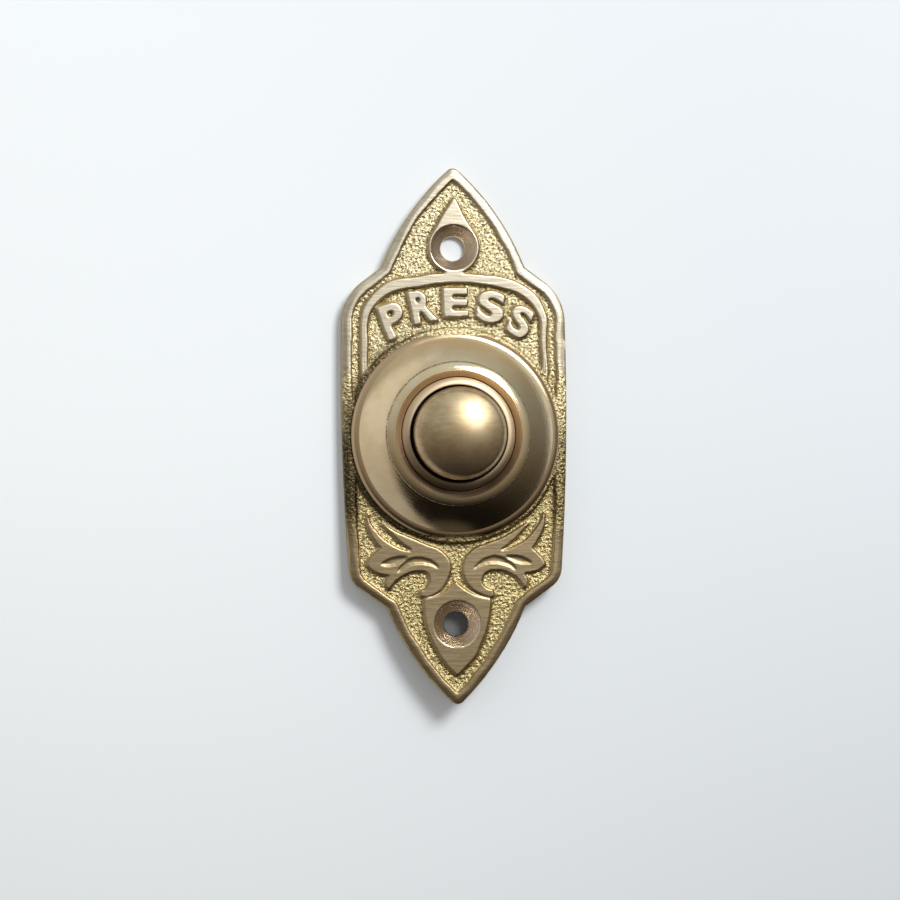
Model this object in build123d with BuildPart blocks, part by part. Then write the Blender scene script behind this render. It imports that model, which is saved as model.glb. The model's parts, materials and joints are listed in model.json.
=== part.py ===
from build123d import *
import os

os.makedirs("parts", exist_ok=True)

# A cast brass bell push. The plate stands in the XZ plane with +Z up, its back is at y = 0 and its
# front faces -Y. The origin is on the button's axis at the back face. Depths count from the wall
# towards the front, and all lengths are in millimetres.

# Button and the ring that guides it
button_radius = 8.2
button_stand = 2.4
button_shoulder_round = 2.0
button_crown_radius = 16.0
button_flange_width = 1.5
button_flange_thickness = 0.7
button_travel = 1.8
button_play = 0.5
spigot_step = 1.2
spigot_lip_width = 0.4
spigot_lip_height = 0.3
spring_cup_wall = 1.3
spring_cup_ceiling = 4.6
bush_wall = 1.4
bush_flange_width = 1.3
bush_flange_thickness = 0.6
bush_rise = 1.4
bush_outer_edge = 0.85
bush_bead_bulge = 0.14
bush_gap = 0.15
rest_gap = 0.1

# Turned collar
collar_lip_width = 1.05
collar_lip_chamfer = 0.6
collar_brow_width = 1.5
collar_brow_rise = 0.45
collar_brow_bulge = 0.06
collar_neck_height = 0.65
collar_dome_width = 4.6
collar_dome_rise = 3.5
collar_dome_bulge = 0.25
collar_step = 0.35
collar_flange_width = 1.3
collar_flange_thickness = 1.25
collar_flange_edge = 0.75
collar_flange_bulge = 0.12
collar_bore_depth = 1.6
collar_shelf_depth = 1.5
collar_wall = 1.3
spanner_flat_inset = 0.85

# Cast plate
ledge_width = 4.0
ledge_thickness = 1.6
recess_inset = 0.2
seat_margin = 0.7
seat_rise = 0.5
side_margin = 0.8
relief_height = 0.65
relief_draft = 12.0
rim_width = 1.85
rim_slope_width = 1.3
rim_slope_drop = 0.4
upper_taper = 0.2
upper_corner_rise = 5.6
upper_corner_round = 9.0
upper_notch_half_width = 12.9
upper_notch_rise = 10.9
upper_point_bulge = 1.4
lower_taper = 1.25
lower_corner_rise = 6.7
lower_corner_round = 4.2
lower_notch_half_width = 12.4
lower_notch_rise = 11.4
lower_point_bulge = 1.2
notch_round = 0.8
tip_rise = 29.2
tip_round = 1.4

# Wall screw holes and the bosses round them
screw_spacing = 67.5
screw_hole_radius = 2.2
countersink_radius = 4.2
countersink_angle = 90
teardrop_radius = 4.75
teardrop_rise = 8.8
teardrop_tip_radius = 0.4
shield_peak_rise = 7.6
shield_corner_half_width = 6.1
shield_corner_rise = 4.6
shield_apex_drop = 9.5
shield_scoop = 0.6
shield_side_bulge = 1.8

# Arch band above the collar
band_half_width = 17.0
band_corner_rise = 6.6
band_crown_rise = 9.9
band_foot_drop = 11.4
band_corner_round = 8.5
band_crown_width = 2.1
band_side_width = 1.4

# Leaf scrolls below the collar, as x and z from the foot of the collar's seat
arm_tip = (13.4, 4.0)
arm_back = (9.5, 1.7)
arm_root = (4.7, -0.4)
volute_neck = (2.4, -1.5)
volute_top = (1.15, -3.2)
volute_side = (1.9, -7.3)
volute_tip = (6.6, -9.6)
curl_tip = (6.6, -8.2)
curl_side = (4.8, -6.6)
curl_top = (6.6, -4.9)
lower_lobe_back = (9.6, -5.7)
lower_lobe_tip = (12.2, -8.2)
lower_lobe_front = (13.0, -6.9)
lobe_notch = (12.0, -5.6)
middle_lobe_foot = (14.3, -5.2)
middle_lobe_tip = (16.3, -3.8)
middle_lobe_crest = (15.2, -2.1)
horn_root = (13.6, -0.9)
horn_back = (15.4, 1.4)
horn_tip = (15.8, 6.2)
horn_hollow = (13.2, 1.2)
fork = (8.0, -1.25)
arm_belly = (10.8, 0.75)
groove_tail = (2.9, -4.9)
groove_crest = (6.4, -2.4)
groove_belly = (6.8, -3.6)
groove_head = (10.9, -5.6)
eye_inner = (8.8, -2.3)
eye_crest = (11.4, -2.45)
eye_belly = (11.0, -3.75)
eye_outer = (13.8, -3.7)
groove_depth = 0.3

# Insulating base behind the plate
base_flange_thickness = 1.3
base_gap = 0.15
platform_height = 1.4
spring_seat_depth = 0.3
pocket_depth = 1.15
pocket_margin = 0.5
floor_thickness = 0.5
wire_well_radius = 3.2
wire_groove_width = 2.2
channel_gap = 0.15

# Return spring
wire_radius = 0.35
spring_gap = 0.75
spring_end_gap = 0.05
spring_turns = 5

# Contacts and the bridge that the button carries
contact_turn = 180
bridge_inset = 0.2
bridge_thickness = 0.4
insulator_thickness = 0.5
ring_play = 0.05
contact_thickness = 0.25
contact_width = 2.0
contact_overhang = 0.5
contact_gap = 0.05
contact_bend = 0.4
contact_ramp_start = -0.7
contact_crown_start = 1.5
contact_crown_end = 3.2
contact_toe = 4.6
contact_toe_drop = 0.5

# Terminals and base screws
terminal_offset = -3.4
terminal_head_radius = 1.9
terminal_head_height = 0.8
terminal_shank_radius = 0.95
terminal_end_margin = 0.05
thread_play = 0.05
washer_radius = 2.2
washer_thickness = 0.25
nut_side = 4.0
nut_thickness = 1.0
slot_width = 0.4
slot_depth = 0.35
base_screw_head_radius = 1.7
base_screw_head_height = 0.7
base_screw_head_taper = 45
base_screw_shank_radius = 0.95
base_screw_end_gap = 0.2
base_screw_count = 2
base_screw_angle = 90

# Radii, worked outwards from the button
bush_bore = button_radius + button_play
bush_radius = bush_bore + bush_wall
collar_bore = bush_radius + bush_gap
collar_lip_radius = collar_bore + collar_lip_width
collar_neck_radius = collar_lip_radius + collar_brow_width
collar_dome_radius = collar_neck_radius + collar_dome_width
collar_radius = collar_dome_radius + collar_flange_width
seat_radius = collar_radius + seat_margin
side_half_width = seat_radius + side_margin
recess_radius = collar_radius - recess_inset
base_radius = recess_radius - base_gap
plate_hole_radius = recess_radius - ledge_width
collar_spigot_radius = plate_hole_radius - thread_play
collar_cavity = collar_spigot_radius - collar_wall
platform_radius = collar_cavity - base_gap
bush_flange_radius = bush_radius + bush_flange_width
collar_shelf = bush_flange_radius + bush_gap
button_flange_radius = button_radius + button_flange_width
button_spigot_radius = button_radius - spigot_step
spring_cup_radius = button_spigot_radius - spring_cup_wall
spring_radius = spring_cup_radius - spring_gap - wire_radius
ring_bore = button_spigot_radius + ring_play
bridge_radius = button_flange_radius - bridge_inset
contact_x = bridge_radius - contact_overhang
base_screw_radius = (plate_hole_radius + base_radius) / 2
screw_clearance = terminal_shank_radius + thread_play
base_screw_bore = base_screw_shank_radius + thread_play

# Depths, worked outwards from the wall
seat_depth = base_flange_thickness + ledge_thickness
ground_depth = seat_depth - seat_rise
relief_depth = ground_depth + relief_height
collar_flange_depth = seat_depth + collar_flange_thickness
collar_step_depth = collar_flange_depth + collar_step
collar_neck_depth = collar_step_depth + collar_dome_rise
collar_brow_depth = collar_neck_depth + collar_neck_height
collar_lip_depth = collar_brow_depth + collar_brow_rise
bush_seat_depth = collar_lip_depth - collar_bore_depth
collar_shelf_foot = bush_seat_depth - collar_shelf_depth
bush_foot_depth = bush_seat_depth - bush_flange_thickness
bush_outer_depth = bush_seat_depth + bush_outer_edge
bush_top_depth = bush_seat_depth + bush_rise
button_flange_top = bush_foot_depth - rest_gap
insulator_top = button_flange_top - button_flange_thickness
bridge_top = insulator_top - insulator_thickness
bridge_foot = bridge_top - bridge_thickness
button_foot = bridge_foot - spigot_lip_height
button_shoulder_depth = bush_top_depth + button_stand
spring_ceiling_depth = button_foot + spring_cup_ceiling
platform_depth = base_flange_thickness + platform_height
spring_seat = platform_depth - spring_seat_depth
channel_floor = pocket_depth + floor_thickness
contact_crown = bridge_foot - button_travel - contact_gap
washer_top = pocket_depth
head_top = washer_top - washer_thickness
head_foot = head_top - terminal_head_height
nut_foot = channel_floor + contact_thickness
nut_top = nut_foot + nut_thickness

# Button's crown: a wide arc about the axis that runs into the rounding of the shoulder
shoulder_centre = button_radius - button_shoulder_round
crown_reach = button_crown_radius - button_shoulder_round
crown_centre = button_shoulder_depth - (crown_reach**2 - shoulder_centre**2) ** 0.5
crown_share = button_crown_radius / crown_reach
crown_edge = (shoulder_centre * crown_share, crown_centre + (button_shoulder_depth - crown_centre) * crown_share)
crown_top = (0, crown_centre + button_crown_radius)

# Heights on the plate
contact_heel = terminal_offset - nut_side / 2
screw_height = screw_spacing / 2
tip_height = seat_radius + tip_rise
upper_corner = (side_half_width - upper_taper, seat_radius + upper_corner_rise)
upper_notch = (upper_notch_half_width, seat_radius + upper_notch_rise)
lower_corner = (side_half_width - lower_taper, -seat_radius - lower_corner_rise)
lower_notch = (lower_notch_half_width, -seat_radius - lower_notch_rise)
wall_screws = [(0, screw_height), (0, -screw_height)]
terminals = [(contact_x, terminal_offset), (-contact_x, -terminal_offset)]

# Working planes: a lathe plane holds radius and depth, a side plane holds height and depth
lathe_plane = Plane(origin=(0, 0, 0), x_dir=(1, 0, 0), z_dir=(0, 0, -1))
above_seat = Plane(origin=(0, -ground_depth, seat_radius), x_dir=(1, 0, 0), z_dir=(0, -1, 0))
below_seat = Plane(origin=(0, -ground_depth, -seat_radius), x_dir=(1, 0, 0), z_dir=(0, -1, 0))
side_plane = Plane(origin=(contact_x, 0, 0), x_dir=(0, 0, 1), z_dir=(1, 0, 0))

# Plate outline: two pointed ends, shoulders and slightly swelling sides
with BuildSketch() as sharp_outline:
    with BuildLine():
        SagittaArc((0, tip_height), upper_notch, upper_point_bulge)
        Line(upper_notch, upper_corner)
        ThreePointArc(upper_corner, (side_half_width, 0), lower_corner)
        Line(lower_corner, lower_notch)
        SagittaArc(lower_notch, (0, -tip_height), lower_point_bulge)
        mirror(about=Plane.YZ)
    make_face()


def round_corner(sketch, corner, radius):
    """Round the sketch's corners nearest to a point and to its mirror image."""
    for x in {corner[0], -corner[0]}:
        fillet(sketch.vertices().sort_by_distance((x, corner[1]))[0], radius)


with BuildSketch() as outline:
    add(sharp_outline.sketch)
    round_corner(outline, (0, tip_height), tip_round)
    round_corner(outline, upper_notch, notch_round)
    round_corner(outline, upper_corner, upper_corner_round)
    round_corner(outline, lower_corner, lower_corner_round)
    round_corner(outline, lower_notch, notch_round)
    round_corner(outline, (0, -tip_height), tip_round)

with BuildSketch() as rim_opening:
    offset(sharp_outline.sketch, amount=-rim_width, kind=Kind.INTERSECTION)
    round_corner(rim_opening, upper_corner, upper_corner_round - rim_width)
    round_corner(rim_opening, lower_corner, lower_corner_round - rim_width)

# Leaf scroll of the right-hand side, with its two cut veins
with BuildSketch() as scroll:
    with BuildLine():
        ThreePointArc(arm_tip, arm_back, arm_root)
        ThreePointArc(arm_root, volute_neck, volute_top)
        ThreePointArc(volute_top, volute_side, volute_tip)
        Line(volute_tip, curl_tip)
        ThreePointArc(curl_tip, curl_side, curl_top)
        ThreePointArc(curl_top, lower_lobe_back, lower_lobe_tip)
        ThreePointArc(lower_lobe_tip, lower_lobe_front, lobe_notch)
        ThreePointArc(lobe_notch, middle_lobe_foot, middle_lobe_tip)
        ThreePointArc(middle_lobe_tip, middle_lobe_crest, horn_root)
        ThreePointArc(horn_root, horn_back, horn_tip)
        ThreePointArc(horn_tip, horn_hollow, fork)
        ThreePointArc(fork, arm_belly, arm_tip)
    make_face()

with BuildSketch() as veins:
    with BuildLine():
        ThreePointArc(groove_tail, groove_crest, groove_head)
        ThreePointArc(groove_head, groove_belly, groove_tail)
    make_face()
    with BuildLine():
        ThreePointArc(eye_inner, eye_crest, eye_outer)
        ThreePointArc(eye_outer, eye_belly, eye_inner)
    make_face()


def arch(side_inset, crown_inset):
    """The face of the arch band's outline, drawn in by an inset at its sides and at its crown."""
    half_width = band_half_width - side_inset
    corner = band_corner_rise - crown_inset
    with BuildSketch() as shape:
        with BuildLine():
            Polyline(
                (half_width, corner),
                (half_width, -band_foot_drop),
                (-half_width, -band_foot_drop),
                (-half_width, corner),
            )
            ThreePointArc((-half_width, corner), (0, band_crown_rise - crown_inset), (half_width, corner))
        make_face()
        fillet(shape.vertices().group_by(Axis.Y)[-1], band_corner_round - side_inset)
    return shape.sketch


# Plate: a drafted casting with a raised rim, band, bosses, scrolls and a seat for the collar
with BuildPart() as plate:
    with BuildSketch(Plane.XZ):
        add(outline.sketch)
    extrude(amount=relief_depth)
    front = plate.faces().sort_by(Axis.Y)[0]
    chamfer(front.edges(), rim_slope_width, rim_slope_drop, reference=front)
    with BuildSketch(Plane.XZ.offset(relief_depth)):
        add(rim_opening.sketch)
    extrude(amount=-relief_height, mode=Mode.SUBTRACT)
    with BuildSketch(above_seat):
        add(arch(0, 0))
    extrude(amount=relief_height, taper=relief_draft)
    with BuildSketch(above_seat):
        add(arch(band_side_width, band_crown_width))
    extrude(amount=relief_height, taper=-relief_draft, mode=Mode.SUBTRACT)
    with BuildSketch(Plane.XZ.offset(ground_depth)):
        with Locations((0, screw_height)):
            Circle(teardrop_radius)
        with Locations((0, screw_height + teardrop_rise)):
            Circle(teardrop_tip_radius)
        make_hull()
    extrude(amount=relief_height, taper=relief_draft)
    with BuildSketch(Plane.XZ.offset(ground_depth)):
        peak = (0, shield_peak_rise - screw_height)
        corner = (shield_corner_half_width, shield_corner_rise - screw_height)
        apex = (0, -shield_apex_drop - screw_height)
        with BuildLine():
            SagittaArc(peak, corner, -shield_scoop)
            SagittaArc(corner, apex, shield_side_bulge)
            mirror(about=Plane.YZ)
        make_face()
    extrude(amount=relief_height, taper=relief_draft)
    with BuildSketch(below_seat):
        add(scroll.sketch)
        mirror(about=Plane.YZ)
    extrude(amount=relief_height)
    with BuildSketch(below_seat.offset(relief_height)):
        add(veins.sketch)
        mirror(about=Plane.YZ)
    extrude(amount=-groove_depth, mode=Mode.SUBTRACT)
    with BuildSketch(Plane.XZ):
        Circle(seat_radius)
    extrude(amount=seat_depth)
    with BuildSketch(Plane.XZ.offset(seat_depth)):
        Circle(seat_radius)
    extrude(amount=relief_depth - seat_depth, mode=Mode.SUBTRACT)
    with BuildSketch(Plane.XZ):
        Circle(recess_radius)
    extrude(amount=base_flange_thickness, mode=Mode.SUBTRACT)
    with BuildSketch(Plane.XZ):
        Circle(plate_hole_radius)
        with PolarLocations(base_screw_radius, base_screw_count, start_angle=base_screw_angle):
            Circle(base_screw_bore)
    extrude(amount=seat_depth, mode=Mode.SUBTRACT)
    with BuildSketch(Plane.XZ.offset(relief_depth)):
        with Locations(*wall_screws):
            Circle(countersink_radius)
    extrude(amount=-relief_depth, taper=countersink_angle / 2, mode=Mode.SUBTRACT)
    with BuildSketch(Plane.XZ):
        with Locations(*wall_screws):
            Circle(screw_hole_radius)
    extrude(amount=relief_depth, mode=Mode.SUBTRACT)
plate.part.label = "plate"
export_step(plate.part, "parts/plate.step")

# Collar: a turned rose that screws into the plate, with two spanner flats on its flange
with BuildPart() as collar:
    with BuildSketch(lathe_plane):
        with BuildLine():
            Polyline(
                (collar_cavity, base_flange_thickness + base_gap),
                (collar_spigot_radius, base_flange_thickness + base_gap),
                (collar_spigot_radius, seat_depth),
                (collar_radius, seat_depth),
                (collar_radius, seat_depth + collar_flange_edge),
            )
            SagittaArc(
                (collar_radius, seat_depth + collar_flange_edge),
                (collar_dome_radius, collar_flange_depth),
                -collar_flange_bulge,
            )
            Line((collar_dome_radius, collar_flange_depth), (collar_dome_radius, collar_step_depth))
            SagittaArc(
                (collar_dome_radius, collar_step_depth),
                (collar_neck_radius, collar_neck_depth),
                -collar_dome_bulge,
            )
            Line((collar_neck_radius, collar_neck_depth), (collar_neck_radius, collar_brow_depth))
            SagittaArc(
                (collar_neck_radius, collar_brow_depth),
                (collar_lip_radius, collar_lip_depth),
                -collar_brow_bulge,
            )
            Polyline(
                (collar_lip_radius, collar_lip_depth),
                (collar_bore, collar_lip_depth - collar_lip_chamfer),
                (collar_bore, bush_seat_depth),
                (collar_shelf, bush_seat_depth),
                (collar_shelf, collar_shelf_foot),
                (collar_cavity, collar_shelf_foot),
                (collar_cavity, base_flange_thickness + base_gap),
            )
        make_face()
    revolve(axis=Axis.Y)
    flat_height = collar_radius - spanner_flat_inset
    with BuildSketch(Plane.XZ.offset(seat_depth)):
        Rectangle(2 * collar_radius, 2 * collar_radius)
        Rectangle(2 * collar_radius, 2 * flat_height, mode=Mode.SUBTRACT)
    extrude(amount=collar_flange_thickness, mode=Mode.SUBTRACT)
collar.part.label = "collar"
export_step(collar.part, "parts/collar.step")

# Bush: the ring inside the collar that guides the button, flanged behind the collar's shelf
with BuildPart() as bush:
    with BuildSketch(lathe_plane):
        with BuildLine():
            Polyline(
                (bush_bore, bush_top_depth),
                (bush_bore, bush_foot_depth),
                (bush_flange_radius, bush_foot_depth),
                (bush_flange_radius, bush_seat_depth),
                (bush_radius, bush_seat_depth),
                (bush_radius, bush_outer_depth),
            )
            SagittaArc((bush_radius, bush_outer_depth), (bush_bore, bush_top_depth), -bush_bead_bulge)
        make_face()
    revolve(axis=Axis.Y)
bush.part.label = "bush"
export_step(bush.part, "parts/bush.step")

# Button: a domed plunger with a retaining flange, a spun-over spigot and a cup for the spring
with BuildPart() as button:
    with BuildSketch(lathe_plane):
        with BuildLine():
            Polyline(
                (0, spring_ceiling_depth),
                (spring_cup_radius, spring_ceiling_depth),
                (spring_cup_radius, button_foot),
                (button_spigot_radius + spigot_lip_width, button_foot),
                (button_spigot_radius + spigot_lip_width, bridge_foot),
                (button_spigot_radius, bridge_foot),
                (button_spigot_radius, insulator_top),
                (button_flange_radius, insulator_top),
                (button_flange_radius, button_flange_top),
                (button_radius, button_flange_top),
                (button_radius, button_shoulder_depth),
            )
            RadiusArc((button_radius, button_shoulder_depth), crown_edge, -button_shoulder_round)
            RadiusArc(crown_edge, crown_top, -button_crown_radius)
            Line(crown_top, (0, spring_ceiling_depth))
        make_face()
    revolve(axis=Axis.Y)
button.part.label = "button"
export_step(button.part, "parts/button.step")

# Fibre washer and brass bridge, held on the button's spigot
with BuildPart() as bridge_insulator:
    with BuildSketch(Plane.XZ.offset(bridge_top)):
        Circle(bridge_radius)
        Circle(ring_bore, mode=Mode.SUBTRACT)
    extrude(amount=insulator_thickness)
bridge_insulator.part.label = "bridge_insulator"
export_step(bridge_insulator.part, "parts/bridge_insulator.step")

with BuildPart() as contact_bridge:
    with BuildSketch(Plane.XZ.offset(bridge_foot)):
        Circle(bridge_radius)
        Circle(ring_bore, mode=Mode.SUBTRACT)
    extrude(amount=bridge_thickness)
contact_bridge.part.label = "contact_bridge"
export_step(contact_bridge.part, "parts/contact_bridge.step")

# Return spring: a coil between the base and the ceiling of the button's cup
with BuildPart() as return_spring:
    coil_start = spring_seat + wire_radius + spring_end_gap
    coil_end = spring_ceiling_depth - wire_radius - spring_end_gap
    with BuildLine():
        coil = Helix(
            pitch=(coil_end - coil_start) / spring_turns,
            height=coil_end - coil_start,
            radius=spring_radius,
            center=(0, -coil_start, 0),
            direction=(0, -1, 0),
        )
    with BuildSketch(Plane(origin=coil @ 0, z_dir=coil % 0)):
        Circle(wire_radius)
    sweep(path=coil, is_frenet=True)
return_spring.part.label = "return_spring"
export_step(return_spring.part, "parts/return_spring.step")

# Base: a moulded disc let into the back of the plate, with channels for the contacts
with BuildPart() as base:
    with BuildSketch(Plane.XZ):
        Circle(base_radius)
    extrude(amount=base_flange_thickness)
    with BuildSketch(Plane.XZ.offset(base_flange_thickness)):
        Circle(platform_radius)
    extrude(amount=platform_height)
    with BuildSketch(Plane.XZ.offset(spring_seat)):
        Circle(spring_cup_radius)
        Circle(spring_radius - wire_radius - spring_end_gap, mode=Mode.SUBTRACT)
    extrude(amount=spring_seat_depth, mode=Mode.SUBTRACT)
    channel_length = contact_toe - contact_heel + 2 * channel_gap
    channel_middle = (contact_toe + contact_heel) / 2
    with BuildSketch(Plane.XZ.offset(channel_floor)):
        with Locations((contact_x, channel_middle), (-contact_x, -channel_middle)):
            Rectangle(contact_width + 2 * channel_gap, channel_length)
        with Locations(*terminals):
            Rectangle(nut_side + 2 * channel_gap, nut_side + 2 * channel_gap)
    extrude(until=Until.LAST, mode=Mode.SUBTRACT)
    with BuildSketch(Plane.XZ):
        with Locations(*terminals):
            Circle(washer_radius + pocket_margin)
        Circle(wire_well_radius)
        with BuildLine():
            Line(*terminals)
        trace(line_width=wire_groove_width)
    extrude(amount=pocket_depth, mode=Mode.SUBTRACT)
    with BuildSketch(Plane.XZ):
        with Locations(*terminals):
            Circle(screw_clearance)
    extrude(amount=channel_floor, mode=Mode.SUBTRACT)
    with BuildSketch(Plane.XZ):
        with PolarLocations(base_screw_radius, base_screw_count, start_angle=base_screw_angle):
            Circle(base_screw_head_radius + thread_play)
    extrude(amount=base_screw_head_height, taper=base_screw_head_taper, mode=Mode.SUBTRACT)
    with BuildSketch(Plane.XZ):
        with PolarLocations(base_screw_radius, base_screw_count, start_angle=base_screw_angle):
            Circle(base_screw_bore)
    extrude(amount=base_flange_thickness, mode=Mode.SUBTRACT)
base.part.label = "base"
export_step(base.part, "parts/base.step")

# Contacts: two identical spring strips, each clamped at its terminal and raised under the bridge
with BuildPart() as contact_right:
    with BuildSketch(side_plane):
        with BuildLine():
            strip = FilletPolyline(
                (contact_heel, channel_floor),
                (contact_ramp_start, channel_floor),
                (contact_crown_start, contact_crown - contact_thickness),
                (contact_crown_end, contact_crown - contact_thickness),
                (contact_toe, contact_crown - contact_thickness - contact_toe_drop),
                radius=contact_bend,
            )
            offset(strip, amount=contact_thickness, side=Side.LEFT)
        make_face()
    extrude(amount=contact_width / 2, both=True)
    with BuildSketch(Plane.XZ.offset(channel_floor)):
        with Locations(terminals[0]):
            Rectangle(nut_side, nut_side)
    extrude(amount=contact_thickness)
    with BuildSketch(Plane.XZ.offset(channel_floor)):
        with Locations(terminals[0]):
            Circle(screw_clearance)
    extrude(amount=contact_thickness, mode=Mode.SUBTRACT)
contact_right.part.label = "contact_right"
export_step(contact_right.part, "parts/contact_right.step")

with BuildPart() as contact_left:
    add(contact_right.part.rotate(Axis.Y, contact_turn))
contact_left.part.label = "contact_left"
export_step(contact_left.part, "parts/contact_left.step")

# Terminal screws, washers and nuts: each screw enters from the back and clamps its contact
with BuildPart() as terminal_screws:
    with BuildSketch(Plane.XZ.offset(head_foot)):
        with Locations(*terminals):
            Circle(terminal_head_radius)
    extrude(amount=terminal_head_height)
    with BuildSketch(Plane.XZ.offset(head_top)):
        with Locations(*terminals):
            Circle(terminal_shank_radius)
    extrude(amount=nut_top + terminal_end_margin - head_top)
    with BuildSketch(Plane.XZ.offset(head_foot)):
        with Locations(*terminals):
            Rectangle(2 * terminal_head_radius, slot_width)
    extrude(amount=slot_depth, mode=Mode.SUBTRACT)
terminal_screws.part.label = "terminal_screws"
export_step(terminal_screws.part, "parts/terminal_screws.step")

with BuildPart() as terminal_washers:
    with BuildSketch(Plane.XZ.offset(head_top)):
        with Locations(*terminals):
            Circle(washer_radius)
            Circle(screw_clearance, mode=Mode.SUBTRACT)
    extrude(amount=washer_thickness)
terminal_washers.part.label = "terminal_washers"
export_step(terminal_washers.part, "parts/terminal_washers.step")

with BuildPart() as terminal_nuts:
    with BuildSketch(Plane.XZ.offset(nut_foot)):
        with Locations(*terminals):
            Rectangle(nut_side, nut_side)
            Circle(screw_clearance, mode=Mode.SUBTRACT)
    extrude(amount=nut_thickness)
terminal_nuts.part.label = "terminal_nuts"
export_step(terminal_nuts.part, "parts/terminal_nuts.step")

# Base screws: countersunk, from the base into the ledge under the collar's flange
with BuildPart() as base_screws:
    with BuildSketch(Plane.XZ):
        with PolarLocations(base_screw_radius, base_screw_count, start_angle=base_screw_angle):
            Circle(base_screw_head_radius)
    extrude(amount=base_screw_head_height, taper=base_screw_head_taper)
    with BuildSketch(Plane.XZ):
        with PolarLocations(base_screw_radius, base_screw_count, start_angle=base_screw_angle):
            Circle(base_screw_shank_radius)
    extrude(amount=seat_depth - base_screw_end_gap)
    with BuildSketch(Plane.XZ):
        with PolarLocations(base_screw_radius, base_screw_count, start_angle=base_screw_angle, rotate=False):
            Rectangle(2 * base_screw_head_radius, slot_width)
    extrude(amount=slot_depth, mode=Mode.SUBTRACT)
base_screws.part.label = "base_screws"
export_step(base_screws.part, "parts/base_screws.step")
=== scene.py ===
"""A cast brass bell push on a pale wall.

Lengths are in metres unless a comment says millimetres.
"""
import json
import math

import bmesh
import bpy
from mathutils import Matrix, Vector, noise
from mathutils.bvhtree import BVHTree


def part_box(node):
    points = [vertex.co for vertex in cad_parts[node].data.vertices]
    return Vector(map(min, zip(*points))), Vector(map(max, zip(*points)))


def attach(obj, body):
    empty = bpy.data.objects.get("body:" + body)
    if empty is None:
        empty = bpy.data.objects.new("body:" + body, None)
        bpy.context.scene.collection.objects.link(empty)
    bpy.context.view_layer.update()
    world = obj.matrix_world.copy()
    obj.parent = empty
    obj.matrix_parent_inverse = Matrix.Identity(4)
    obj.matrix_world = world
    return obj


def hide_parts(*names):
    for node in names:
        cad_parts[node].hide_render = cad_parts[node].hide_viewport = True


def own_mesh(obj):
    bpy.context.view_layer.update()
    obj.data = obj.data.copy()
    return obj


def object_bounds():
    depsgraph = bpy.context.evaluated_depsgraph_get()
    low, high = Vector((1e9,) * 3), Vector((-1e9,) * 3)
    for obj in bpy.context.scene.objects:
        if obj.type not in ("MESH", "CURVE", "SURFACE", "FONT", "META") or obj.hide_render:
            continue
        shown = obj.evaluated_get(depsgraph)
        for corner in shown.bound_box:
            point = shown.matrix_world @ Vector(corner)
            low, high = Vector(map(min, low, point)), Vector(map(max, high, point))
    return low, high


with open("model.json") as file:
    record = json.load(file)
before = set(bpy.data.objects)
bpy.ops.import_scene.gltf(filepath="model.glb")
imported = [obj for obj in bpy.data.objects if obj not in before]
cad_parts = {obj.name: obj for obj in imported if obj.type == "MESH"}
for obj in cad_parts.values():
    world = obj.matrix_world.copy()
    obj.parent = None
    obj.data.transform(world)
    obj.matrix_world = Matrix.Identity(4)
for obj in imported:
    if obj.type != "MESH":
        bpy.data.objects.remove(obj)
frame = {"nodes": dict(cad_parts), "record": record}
cad_low, cad_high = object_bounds()
MM = 0.001
SAME_PLACE = 0.001 * MM
SAME_DEPTH = 0.0001 * MM
FORWARD = Vector((0, 1, 0))
UPRIGHT = Matrix.Rotation(math.radians(90), 4, "X")

# Camera, a little to the left and below, with the picture in pixels and the sensor in millimetres
PICTURE = 900
CAMERA_LEFT = math.radians(6.6)
CAMERA_BELOW = math.radians(2.3)
CAMERA_DISTANCE = 0.400
CAMERA_ROLL = math.radians(-0.55)
SENSOR_WIDTH = 36.0
PIXELS_PER_MM = 5.58
PLATE_AXIS_PIXEL = (455.4, 435.1)

# Cast plate
GRID_PITCH = 0.17 * MM
SIDE_LEAN = 0.1
SIDE_SNAP_DEPTH = 1.35 * MM
GROUND_DEPTH = 2.4 * MM
RELIEF_DEPTH = 3.05 * MM
RIM_EDGE_DEPTH = 2.6 * MM
RIM_WIDTH = 1.5 * MM
LETTER_DEPTH = 3.0 * MM
CAST_FILL = 0.1 * MM
CAST_SOFTENING = 5
CAVITY_SOFTENING = 30
LINISH_GAIN = 1.18
LINISH_UNEVEN = 0.15
LINISH_FROM = 0.1
LINISH_RISE = 3.2
CORNER_GAIN = 3
GRAIN_SIZE = (0.54 * MM, 0.48 * MM)
GRAIN_HEIGHT = 0.105 * MM
WANDER_SIZE = 3.6 * MM
WANDER = 0.25 * MM
WANDER_SEED = 7
ROUGH_SIDES = (-14 * MM, 8 * MM)
ROUGH_SIDE_FROM = 16.4 * MM
ROUGH_FADE = 6 * MM
ROUGH_SEAT = 19.8 * MM
SCREW_HEIGHTS = (33.75 * MM, -33.75 * MM)
COUNTERSINK_RADIUS = 4.2 * MM
BASE_GAP = 0.15 * MM
LEDGE_DEPTH = 1.3 * MM
PLATE_SHARP_DEGREES = 48

# Dirt with painted shade, and raw metal, on the plate in millimetres, each from where it starts to where it
# is full
SEAT_SOIL_AND_SHADE = (21.8, 18.8)
SIDE_SOIL_AND_SHADE = (16.6, 17.8)
SIDE_SOIL_AND_SHADE_TOP = (5, -2)
SIDE_SOIL_AND_SHADE_FOOT = (-20, -13)
SOIL_AND_SHADE_SHIFT = (0, -17)
RAW_BACK = (1.9, 0.6)

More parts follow.
